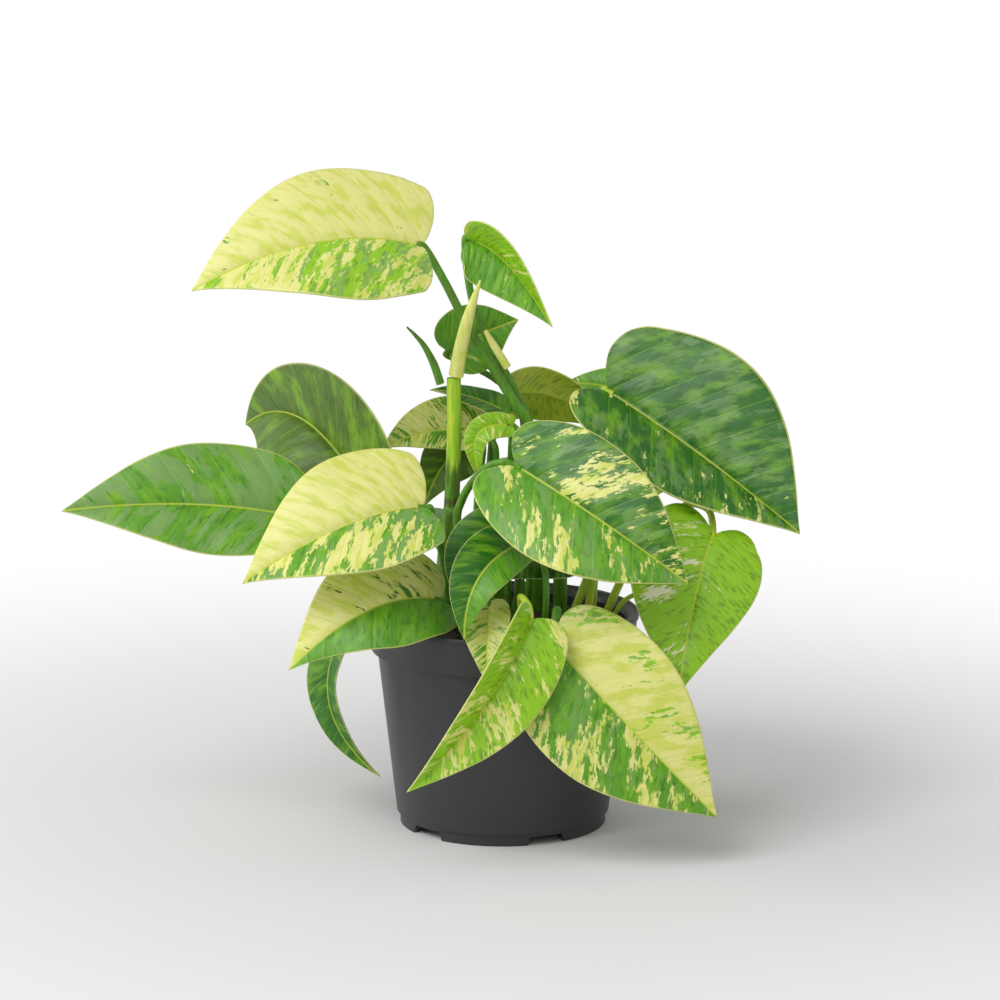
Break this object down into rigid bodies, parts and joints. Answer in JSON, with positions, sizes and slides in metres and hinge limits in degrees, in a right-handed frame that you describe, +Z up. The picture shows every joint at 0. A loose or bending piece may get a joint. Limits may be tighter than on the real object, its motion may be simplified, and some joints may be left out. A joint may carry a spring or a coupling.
{
  "type": "potted pothos plant",
  "caption": "Variegated pothos with cream and green heart-shaped leaves, in a plain dark nursery pot.",
  "frame": {"origin": "on the surface the pot stands on, under the middle of the whole plant's box; the pot's axis is at x 0.032 m, y -0.0042 m", "axes": "+Z up, -Y towards the plant's front, +X to its right"},
  "size_m": [0.33, 0.2162, 0.2987],
  "materials": {
    "pot_plastic": "matte moulded",
    "soil": "crumbly peat",
    "leaf_cream": "waxy leaf",
    "leaf_pale": "waxy leaf",
    "leaf_lime": "waxy leaf",
    "leaf_green": "waxy leaf",
    "leaf_olive": "waxy leaf",
    "leaf_dark": "waxy leaf",
    "stem_green": "smooth stem",
    "stem_pale": "pale papery stem"
  },
  "bodies": {
    "root": {"pot": "pot_plastic", "soil": "soil", "leaf_top_left": "leaf_lime", "leaf_top_folded": "leaf_lime", "leaf_behind_bud": "leaf_green", "leaf_right_dark": "leaf_dark", "leaf_front_middle": "leaf_green", "leaf_back_pale": "leaf_pale", "leaf_back_right": "leaf_green", "leaf_left_back_light": "leaf_cream", "leaf_left_back_dark": "leaf_olive", "leaf_thin_edge": "leaf_dark", "leaf_young_ribbon": "leaf_pale", "leaf_far_left": "leaf_green", "leaf_left_arched": "leaf_olive", "leaf_cream": "leaf_cream", "leaf_over_rim": "leaf_green", "leaf_hanging_left": "leaf_dark", "leaf_centre_small": "leaf_green", "leaf_centre_dark": "leaf_dark", "leaf_inner_dark": "leaf_dark", "leaf_rim_small": "leaf_cream", "leaf_front_folded": "leaf_lime", "leaf_front_right": "leaf_cream", "leaf_right_lime": "leaf_lime", "leaf_right_tiny": "leaf_pale", "leaf_back_middle": "leaf_green", "leaf_back_left": "leaf_green", "stalk_top_left": "stem_green", "stalk_top_folded": "stem_green", "stalk_behind_bud": "stem_green", "stalk_right_dark": "stem_pale", "stalk_front_middle": "stem_green", "stalk_back_pale": "stem_green", "stalk_back_right": "stem_pale", "stalk_left_back_light": "stem_green", "stalk_left_back_dark": "stem_green", "stalk_thin_edge": "stem_green", "stalk_young_ribbon": "stem_green", "stalk_far_left": "stem_green", "stalk_left_arched": "stem_green", "stalk_cream": "stem_green", "stalk_over_rim": "stem_green", "stalk_hanging_left": "stem_green", "stalk_centre_small": "stem_green", "stalk_centre_dark": "stem_green", "stalk_inner_dark": "stem_pale", "stalk_rim_small": "stem_green", "stalk_front_folded": "stem_pale", "stalk_front_right": "stem_green", "stalk_right_lime": "stem_pale", "stalk_right_tiny": "stem_pale", "stalk_back_middle": "stem_green", "stalk_back_left": "stem_green", "vine_left": "stem_green", "vine_right": "stem_green", "vine_front": "stem_green", "sheath_bud": "stem_pale", "sheath_point": "stem_pale", "sheath_wing": "stem_pale"}
  },
  "joints": []
}
